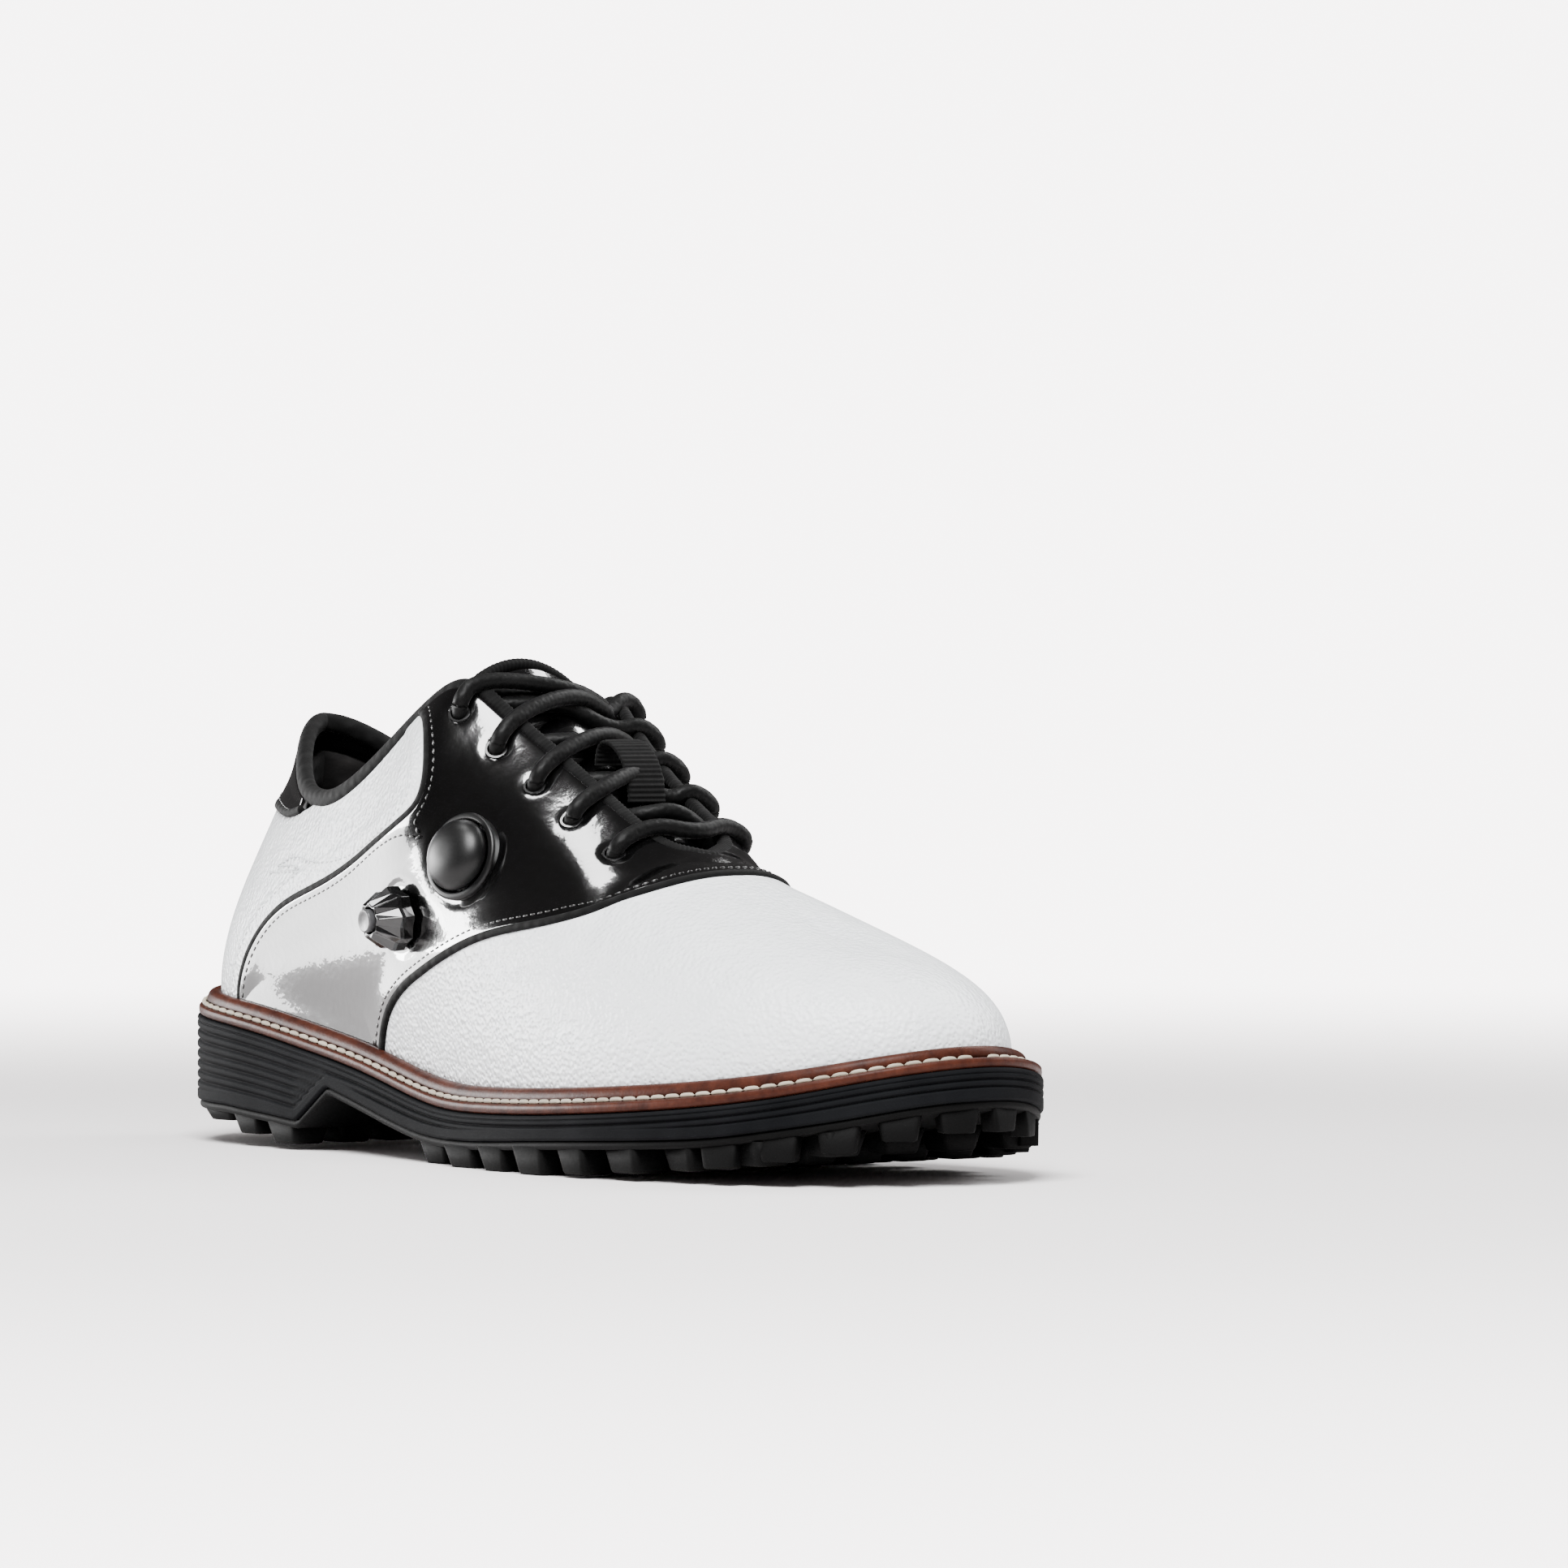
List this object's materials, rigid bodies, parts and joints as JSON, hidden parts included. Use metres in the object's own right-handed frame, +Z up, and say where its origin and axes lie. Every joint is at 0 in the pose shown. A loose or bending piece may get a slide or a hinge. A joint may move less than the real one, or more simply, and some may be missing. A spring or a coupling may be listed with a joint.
{
  "type": "golf shoe",
  "caption": "Right saddle-pattern golf shoe with a welted lugged sole, laced tongue, and an air bulb and release valve on the outer side.",
  "frame": {"origin": "on the ground, under the centre of the shoe's bounding box", "axes": "+X to the toe, +Y to the inner (medial) side, +Z up"},
  "size_m": [0.3, 0.103, 0.1266],
  "materials": {
    "white_leather": "fine pebbled, semi-matt",
    "patent_leather": "patent, high gloss",
    "rubber": "matt",
    "midsole_foam": "matt, grooved",
    "welt_brown": "satin, waxed edge",
    "thread": "waxed thread",
    "black_fabric": "woven tape",
    "lining_fabric": "knitted mesh",
    "lace_cord": "waxed braid",
    "bulb_rubber": "satin",
    "gloss_plastic": "glossy",
    "grey_plastic": "satin",
    "foam": "open-cell foam",
    "board": "fibre board",
    "cork": "granular",
    "steel": "plain",
    "film": "welded film"
  },
  "bodies": {
    "shoe": {"outsole": "rubber", "midsole": "midsole_foam", "welt": "welt_brown", "storm_welt": "welt_brown", "welt_stitches": "thread", "bottom_filler": "cork", "shank": "steel", "insole_board": "board", "sockliner": "lining_fabric", "vamp": "white_leather", "saddle": "patent_leather", "quarter_lateral": "white_leather", "quarter_medial": "white_leather", "heel_tab": "patent_leather", "facing_binding_lateral": "black_fabric", "facing_binding_medial": "black_fabric", "facing_stay_lateral": "black_fabric", "facing_stay_medial": "black_fabric", "collar_binding": "black_fabric", "eyelets": "gloss_plastic", "toe_puff": "board", "heel_counter": "board", "air_bladder": "film", "collar_foam": "foam", "vamp_lining": "lining_fabric", "quarter_lining": "lining_fabric", "tongue_face": "patent_leather", "tongue_foam": "foam", "tongue_lining": "lining_fabric", "tongue_binding": "black_fabric", "lace_loop": "black_fabric", "lace": "lace_cord", "bulb_base": "gloss_plastic", "bulb_skirt": "bulb_rubber", "intake_valve": "grey_plastic", "release_valve_knob": "gloss_plastic", "release_valve_stem": "gloss_plastic", "release_valve_seal": "rubber", "release_valve_spring": "steel", "air_tube_in": "film", "air_tube_out": "film"},
    "bulb": {"inflation_bulb": "bulb_rubber"},
    "valve_button": {"release_valve_button": "grey_plastic"}
  },
  "joints": [
    {"name": "bulb_press", "type": "slide", "parent": "shoe", "child": "bulb", "axis": [-0.1657, 0.9495, -0.2664], "range_m": [0, 0.003], "stiffness_N_per_m": 2500},
    {"name": "release_press", "type": "slide", "parent": "shoe", "child": "valve_button", "axis": [0.0803, 0.9956, 0.0487], "range_m": [0, 0.0015], "stiffness_N_per_m": 1500}
  ]
}
